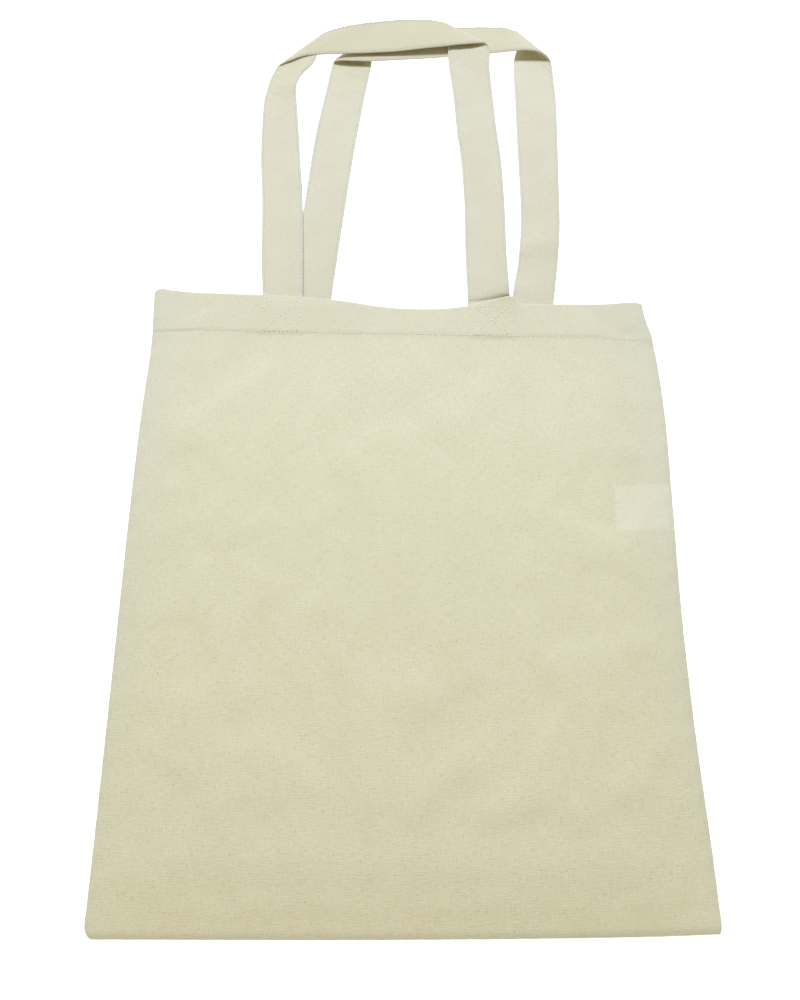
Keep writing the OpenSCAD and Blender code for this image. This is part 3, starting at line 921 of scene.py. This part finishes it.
BACK_STRAP = (
    ((-84.5, 180, 2.28), (-53.5, 180, 2.28)), ((-84.5, 198, 2.28), (-54, 198, 2.28)),
    ((-85, 215, 2.15), (-53, 215, 2.15)), ((-83, 250, 1.4), (-49.5, 250, 1.4)),
    ((-78.5, 291, 1), (-45, 291, 1)), ((-74.5, 334, 1), (-40, 334, 1)),
    ((-71, 364, 1), (-36, 364, 1)), ((-66, 395, 1), (-31.5, 395, 1)),
    ((-63, 413, 1), (-28.5, 413.5, 1.2)), ((-61, 426, 1.1), (-26.3, 427, 1.6)),
    # the first fold
    ((-59.5, 431, 1.6), (-25.3, 438.5, 2.2)), ((-58.7, 432.3, 2.6), (-25.8, 449, 3.1)),
    ((-58.3, 432.4, 3.8), (-27.6, 457, 4.3)), ((-57, 432.2, 5.1), (-28, 460, 5.6)),
    ((-52, 431.7, 6.3), (-25.5, 461.3, 6.6)), ((-40.5, 430.7, 7), (-19.5, 462, 7.1)),
    # the top run
    ((-27, 430.3, 7.2), (-10.5, 463, 7.3)), ((-6, 431.2, 7.4), (2, 464, 7.4)),
    ((18, 432.7, 7.5), (20, 464.6, 7.5)), ((42, 434.5, 7.6), (38, 465.5, 7.6)),
    ((62, 436.5, 7.7), (54, 466.3, 7.7)), ((80, 438.3, 7.9), (70, 466.7, 7.8)),
    ((95, 438.5, 9.8), (82, 465.7, 8.7)), ((107, 438.7, 10.9), (90, 464.6, 9.1)),
    # the second fold
    ((117.5, 438, 10.1), (97.5, 462.2, 8.5)), ((125.5, 436, 7.4), (103, 460, 7.0)),
    ((130, 433.7, 3.6), (105.8, 457.5, 4.4)), ((131.3, 430.5, 1.9), (104.8, 453, 2.6)),
    ((131.8, 425, 1.2), (100.8, 445, 1.5)), ((132, 415, 1), (98.2, 432, 1.1)),
    ((132.5, 403, 1), (97.5, 414, 1)), ((132.5, 391, 1), (97.5, 395, 1)),
    # down the right leg, with a small wrinkle, and into the hem
    ((131, 349, 1), (97, 349, 1)), ((129, 305, 1), (97, 305, 1)),
    ((127.7, 276, 1.2), (96, 273, 1.2)), ((125.5, 256, 2.3), (93.5, 252, 2.7)),
    ((123.5, 240, 1.5), (91.5, 236, 1.6)), ((120, 218, 2.15), (87.5, 218, 2.15)),
    ((117, 198, 2.28), (85, 198, 2.28)), ((117, 178, 2.28), (86, 178, 2.28)),
)


def strap_lines(rulings, per_step=9):
    """Smooth edges of a strap through its listed lines: left edge, right edge, face direction."""
    knots = np.array(rulings, float)
    count = len(knots)
    steps = np.linspace(0, count - 1, (count - 1)*per_step + 1)
    i = np.clip(steps.astype(int), 0, count - 2)
    t = (steps - i)[:, None, None]
    before, here = knots[np.clip(i - 1, 0, None)], knots[i]
    there, after = knots[i + 1], knots[np.clip(i + 2, None, count - 1)]
    edges = 0.5*(2*here + (there - before)*t + (2*before - 5*here + 4*there - after)*t**2
                 + (3*here - before - 3*there + after)*t**3)
    left, right = edges[:, 0], edges[:, 1]
    middle = (left + right)/2
    ahead = np.gradient(middle, axis=0)
    face = np.cross(right - left, ahead)
    face /= np.linalg.norm(face, axis=1)[:, None]
    # Even the facing out along the strap, so the soft folds stay round
    for _ in range(6):
        face[1:-1] = (face[:-2] + 2*face[1:-1] + face[2:])/4
        face /= np.linalg.norm(face, axis=1)[:, None]
    return left, right, face


def strap_section():
    """Half thickness across a strap, with rounded edges and a groove under each row of stitches."""
    u = np.array([1.0, 0.992, 0.972, 0.945, 0.915, 0.88, 0.845, 0.80, 0.70, 0.55, 0.38, 0.19, 0.0])
    u = np.concatenate([u, -u[-2::-1]])
    past = np.clip((np.abs(u) - 0.93)/0.07, 0, 1)
    half = STRAP_T/2*np.sqrt(1 - past**2)
    half = half*(1 - 0.24*np.exp(-((np.abs(u) - STITCH_ROW)/0.028)**2))
    half = half*(1 + 0.10*np.cos(u*pi/1.7))
    return u, half


def strap_ripple(run, place, seed):
    """The folded strip is never quite even: it waves a little between its two rows of stitches."""
    ends = smooth(np.minimum(run, run[-1] - run)/40)
    wave = 0.16*np.sin(2*pi*run/46 + seed) + 0.12*np.sin(2*pi*run/19 + 2*seed)
    return ends*wave*(0.4 + 0.6*place) + 0.07*ends*np.sin(2*pi*run/7.5 + 5*place + seed)


def strap(name, rulings, material, nodes, seed):
    left, right, face = strap_lines(rulings)
    middle, across = (left + right)/2, (right - left)/2
    u, half = strap_section()
    run = np.concatenate([[0], np.cumsum(np.linalg.norm(np.diff(middle, axis=0), axis=1))])
    profile = []
    for sign in (1, -1):
        places = u if sign > 0 else u[::-1][1:-1]
        depths = half if sign > 0 else half[::-1][1:-1]
        for place, depth in zip(places, depths):
            lift = sign*depth + strap_ripple(run, place, seed)
            profile.append(middle + across*place + face*lift[:, None])
    points = np.stack(profile, 1)
    count, around = points.shape[:2]
    uv = np.empty((count, around, 2))
    uv[..., 0] = (np.concatenate([u, 2 + u[1:-1]])*STRAP_W/2)*MM
    uv[..., 1] = run[:, None]*MM
    faces = []
    for i in range(count - 1):
        for k in range(around):
            a, b = i*around + k, i*around + (k + 1) % around
            faces.append((a, a + around, b + around, b))
    faces.append(tuple(range(around)))
    faces.append(tuple((count - 1)*around + k for k in range(around - 1, -1, -1)))
    piece = make_object(name, points.reshape(-1, 3), faces, uv.reshape(-1, 2), material)
    # The rim value along a strap's edges is painted shade where the strap rounds over
    from_edge = (1 - np.abs(np.concatenate([u, u[::-1][1:-1]])))*STRAP_W/2
    mark_points(piece, "rim", np.tile(np.exp(-from_edge/2.2), count))
    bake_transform(piece)
    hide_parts(*nodes)
    return left, right, face, run


def strap_stitching(name, shape, material, node, seed):
    """A row of stitches near each edge, on both faces of the strap."""
    left, right, face, run = shape
    middle, across = (left + right)/2, (right - left)/2
    free = (run > 30) & (run < run[-1] - 30)
    lines = []
    for sign in (1, -1):
        for place in (STITCH_ROW, -STITCH_ROW):
            lift = sign*(STRAP_T/2*0.80 + 0.06) + strap_ripple(run, place, seed)
            line = middle + across*place + face*lift[:, None]
            lines.append((line[free], sign*face[free]))
    piece = stitching(name, lines, material, node)
    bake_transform(piece)


# ---- Everything together ----

camera()
studio()
table_top()

settled_waves = slack_waves()
label_low, label_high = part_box("care_label")
cloth = cotton("unbleached_plain_weave_cotton", "#E1DDC3", "#E4E0C7", "#D0CAAB", 0.17, 0.40,
               label_place=(label_low.x - 0.003, label_high.x, label_low.y - BOTTOM*MM - 0.0045,
                            label_high.y - BOTTOM*MM - 0.0045))
inner_cloth = cotton("unbleached_cotton_back", "#E1DDC3", "#E4E0C7", "#D0CAAB", 0.17, 0.35)
# The strap cloth is toned slightly yellower from 0.20 to 0.46 m along each strap
strap_cloth = cotton("folded_cotton_strap", "#D5D0B9", "#D8D4BD", "#C6BFA4", 0.08, 0.20,
                     relief_strength=0.35, marked=(0.20, 0.46))
thread = thread_cotton("cotton_sewing_thread", "#F7F4EA", "#E6E1D0")
strap_thread = thread_cotton("cotton_strap_thread", "#DAD5BF", "#CCC6AE")

back_cloth(inner_cloth)
front_cloth(cloth)
panel_stitching(thread)
seam_stitching(thread)
care_label(label_cotton())

front_shape = strap("front_strap", FRONT_STRAP, strap_cloth,
                    ("front_handle", "front_left_strap_end", "front_right_strap_end"), 1.3)
strap_stitching("front_strap_stitching", front_shape, strap_thread,
                "front_handle_thread", 1.3)
back_shape = strap("back_strap", BACK_STRAP, strap_cloth,
                   ("back_handle", "back_left_strap_end", "back_right_strap_end"), 4.1)
strap_stitching("back_strap_stitching", back_shape, strap_thread,
                "back_handle_thread", 4.1)
